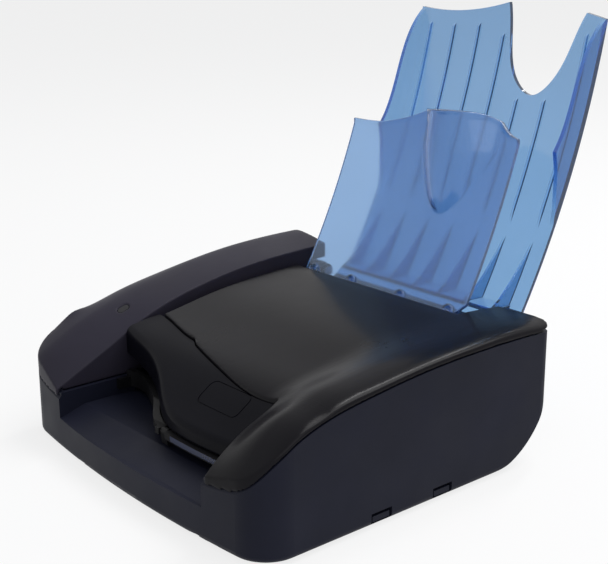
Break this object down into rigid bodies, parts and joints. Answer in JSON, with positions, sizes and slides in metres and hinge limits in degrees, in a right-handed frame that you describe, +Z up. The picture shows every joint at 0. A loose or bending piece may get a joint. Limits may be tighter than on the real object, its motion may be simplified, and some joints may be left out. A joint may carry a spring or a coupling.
{
  "type": "cheque scanner",
  "caption": "Desktop cheque scanner with a front entry tray, arched side rail, hinged glossy cover and a tall translucent rear pocket for scanned cheques",
  "frame": {"origin": "centre of the footprint box, on the surface the rubber feet rest on", "axes": "+X is the user's right, +Y points from the front entry to the rear pocket, +Z is up"},
  "size_m": [0.177, 0.232, 0.188],
  "materials": {
    "base_shell": "fine matt texture",
    "bottom_plate": "matt",
    "rubber_feet": "matt rubber",
    "housing_screws": "zinc plated",
    "side_housing": "fine satin texture",
    "status_lens": "clear smoke",
    "top_cover": "high gloss",
    "front_bezel": "semi gloss",
    "entry_throat": "satin",
    "entry_light_bar": "translucent blue",
    "entry_flag": "satin",
    "track_frame": "smooth",
    "frame_screws": "zinc plated",
    "shaft_bushes": "sintered bronze",
    "feed_shaft": "ground",
    "exit_shaft": "ground",
    "feed_tyres": "ground rubber",
    "exit_tyres": "ground rubber",
    "feed_pulley": "natural acetal",
    "exit_pulley": "natural acetal",
    "motor_pulley": "turned",
    "drive_belt": "moulded",
    "motor_shaft": "ground",
    "drive_motor": "die cast and sheet steel",
    "motor_bracket": "zinc plated sheet",
    "motor_screws": "zinc plated",
    "lower_sensor_bar": "moulded",
    "lower_sensor_glass": "float glass",
    "upper_sensor_bar": "moulded",
    "upper_sensor_glass": "float glass",
    "micr_magnet": "nickel plated",
    "micr_head": "lapped metal",
    "micr_spring": "spring wire",
    "upper_guide": "smooth",
    "guide_screws": "zinc plated",
    "feed_pinch_axle": "ground",
    "exit_pinch_axle": "ground",
    "feed_pinch_rollers": "natural acetal",
    "exit_pinch_rollers": "natural acetal",
    "pinch_springs": "spring strip",
    "hinge_pins": "ground",
    "main_board": "solder mask",
    "board_components": "moulded packages",
    "board_screws": "zinc plated",
    "usb_socket": "moulded and plated",
    "power_socket": "moulded",
    "sensor_ribbon": "flat cable",
    "rear_pocket_panel": "translucent blue, clear",
    "front_pocket_panel": "translucent blue, clear"
  },
  "bodies": {
    "base": {"base_shell": "base_shell", "bottom_plate": "bottom_plate", "rubber_feet": "rubber_feet", "housing_screws": "housing_screws", "side_housing": "side_housing", "status_lens": "status_lens", "entry_throat": "entry_throat", "entry_light_bar": "entry_light_bar", "track_frame": "track_frame", "frame_screws": "frame_screws", "shaft_bushes": "shaft_bushes", "drive_belt": "drive_belt", "drive_motor": "drive_motor", "motor_bracket": "motor_bracket", "motor_screws": "motor_screws", "lower_sensor_bar": "lower_sensor_bar", "lower_sensor_glass": "lower_sensor_glass", "micr_magnet": "micr_magnet", "hinge_pins": "hinge_pins", "main_board": "main_board", "board_components": "board_components", "board_screws": "board_screws", "usb_socket": "usb_socket", "power_socket": "power_socket", "sensor_ribbon": "sensor_ribbon", "rear_pocket_panel": "rear_pocket_panel"},
    "cover": {"top_cover": "top_cover", "front_bezel": "front_bezel", "upper_guide": "upper_guide", "guide_screws": "guide_screws", "upper_sensor_bar": "upper_sensor_bar", "upper_sensor_glass": "upper_sensor_glass", "pinch_springs": "pinch_springs", "micr_spring": "micr_spring", "front_pocket_panel": "front_pocket_panel"},
    "feed_roller": {"feed_shaft": "feed_shaft", "feed_tyres": "feed_tyres", "feed_pulley": "feed_pulley"},
    "exit_roller": {"exit_shaft": "exit_shaft", "exit_tyres": "exit_tyres", "exit_pulley": "exit_pulley"},
    "motor_rotor": {"motor_shaft": "motor_shaft", "motor_pulley": "motor_pulley"},
    "feed_pinch": {"feed_pinch_axle": "feed_pinch_axle", "feed_pinch_rollers": "feed_pinch_rollers"},
    "exit_pinch": {"exit_pinch_axle": "exit_pinch_axle", "exit_pinch_rollers": "exit_pinch_rollers"},
    "reading_head": {"micr_head": "micr_head"},
    "flag": {"entry_flag": "entry_flag"}
  },
  "joints": [
    {"name": "cover_hinge", "type": "hinge", "parent": "base", "child": "cover", "pos_m": [0, 0.044, 0.055], "axis": [-1, 0, 0], "range_deg": [0, 20]},
    {"name": "feed_turn", "type": "hinge", "parent": "base", "child": "feed_roller", "pos_m": [0, -0.066, 0.0135], "axis": [1, 0, 0], "continuous": true},
    {"name": "exit_turn", "type": "hinge", "parent": "base", "child": "exit_roller", "pos_m": [0, 0.02724, 0.0339], "axis": [1, 0, 0], "continuous": true},
    {"name": "motor_turn", "type": "hinge", "parent": "base", "child": "motor_rotor", "pos_m": [0, -0.018, 0.038], "axis": [1, 0, 0], "continuous": true},
    {"name": "feed_pinch_turn", "type": "hinge", "parent": "cover", "child": "feed_pinch", "pos_m": [0, -0.066, 0.0268], "axis": [1, 0, 0], "continuous": true},
    {"name": "exit_pinch_turn", "type": "hinge", "parent": "cover", "child": "exit_pinch", "pos_m": [0, 0.02109, 0.04569], "axis": [1, 0, 0], "continuous": true},
    {"name": "head_lift", "type": "slide", "parent": "cover", "child": "reading_head", "axis": [0, 0, 1], "range_m": [0, 0.0015], "stiffness_N_per_m": 200, "deforming": ["micr_spring"]},
    {"name": "flag_turn", "type": "hinge", "parent": "base", "child": "flag", "pos_m": [0.008, -0.0981, 0.0262], "axis": [1, 0, 0], "range_deg": [0, 30], "stiffness_Nm_per_rad": 0.0005}
  ],
  "couplings": [
    {"joint": "exit_turn", "follows": "feed_turn", "ratio": 1},
    {"joint": "motor_turn", "follows": "feed_turn", "ratio": 1.3333}
  ]
}
